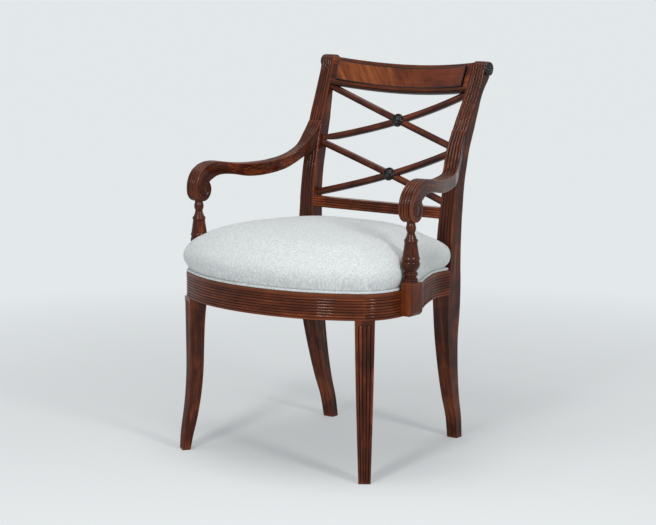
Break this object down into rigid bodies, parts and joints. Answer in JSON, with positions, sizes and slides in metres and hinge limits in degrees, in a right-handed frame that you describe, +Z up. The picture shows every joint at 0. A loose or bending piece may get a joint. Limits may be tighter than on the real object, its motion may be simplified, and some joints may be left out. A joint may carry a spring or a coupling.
{
  "type": "open armchair",
  "caption": "Open armchair: reeded scroll-topped back posts, bowed crest rail over a crossed lattice back, scrolled arms on turned posts, sabre legs and a crowned upholstered seat.",
  "frame": {"origin": "centre of the chair's footprint, on the floor", "axes": "+Z up, the sitter faces -Y, +X to the right in a view along +Y, so nodes named left are at -X"},
  "size_m": [0.6256, 0.607, 0.87],
  "materials": {
    "mahogany": "french polished red-brown mahogany, glossy, dark in the grooves",
    "flame_mahogany": "figured flame mahogany veneer, polished, orange-brown to red-brown",
    "ebonised_wood": "ebonised black, polished",
    "beech": "bare planed beech",
    "screw_steel": "plain zinc-grey steel",
    "plywood": "bare birch plywood",
    "foam": "cream upholstery foam and wadding",
    "seat_fabric": "pale grey-white woven upholstery fabric, matt",
    "cambric": "black non-woven dust cover, matt"
  },
  "bodies": {
    "root": {"back_post_right": "mahogany", "back_post_left": "mahogany", "crest_rail": "mahogany", "crest_panel": "flame_mahogany", "crest_stringing": "ebonised_wood", "lower_cross_rail": "mahogany", "lattice_upper_rising_bar": "mahogany", "lattice_upper_falling_bar": "mahogany", "rosette_upper": "ebonised_wood", "lattice_lower_rising_bar": "mahogany", "lattice_lower_falling_bar": "mahogany", "rosette_lower": "ebonised_wood", "roundel_right": "ebonised_wood", "roundel_left": "ebonised_wood", "arm_right": "mahogany", "arm_left": "mahogany", "arm_post_right": "mahogany", "arm_post_left": "mahogany", "arm_dowel_1_right": "beech", "arm_dowel_1_left": "beech", "arm_dowel_2_right": "beech", "arm_dowel_2_left": "beech", "seat_rail_front": "mahogany", "seat_rail_right": "mahogany", "seat_rail_left": "mahogany", "seat_rail_back": "mahogany", "front_leg_right": "mahogany", "front_leg_left": "mahogany", "front_corner_block_right": "beech", "front_corner_block_left": "beech", "rear_corner_block_right": "beech", "rear_corner_block_left": "beech", "front_block_screw_1_right": "screw_steel", "front_block_screw_1_left": "screw_steel", "front_block_screw_2_right": "screw_steel", "front_block_screw_2_left": "screw_steel", "rear_block_screw_1_right": "screw_steel", "rear_block_screw_1_left": "screw_steel", "rear_block_screw_2_right": "screw_steel", "rear_block_screw_2_left": "screw_steel", "arm_post_screw_1_right": "screw_steel", "arm_post_screw_1_left": "screw_steel", "arm_post_screw_2_right": "screw_steel", "arm_post_screw_2_left": "screw_steel", "seat_screw_1_right": "screw_steel", "seat_screw_1_left": "screw_steel", "seat_screw_2_right": "screw_steel", "seat_screw_2_left": "screw_steel", "seat_board": "plywood", "seat_foam": "foam", "seat_cover": "seat_fabric", "seat_welt": "seat_fabric", "seat_dust_cover": "cambric"}
  },
  "joints": []
}
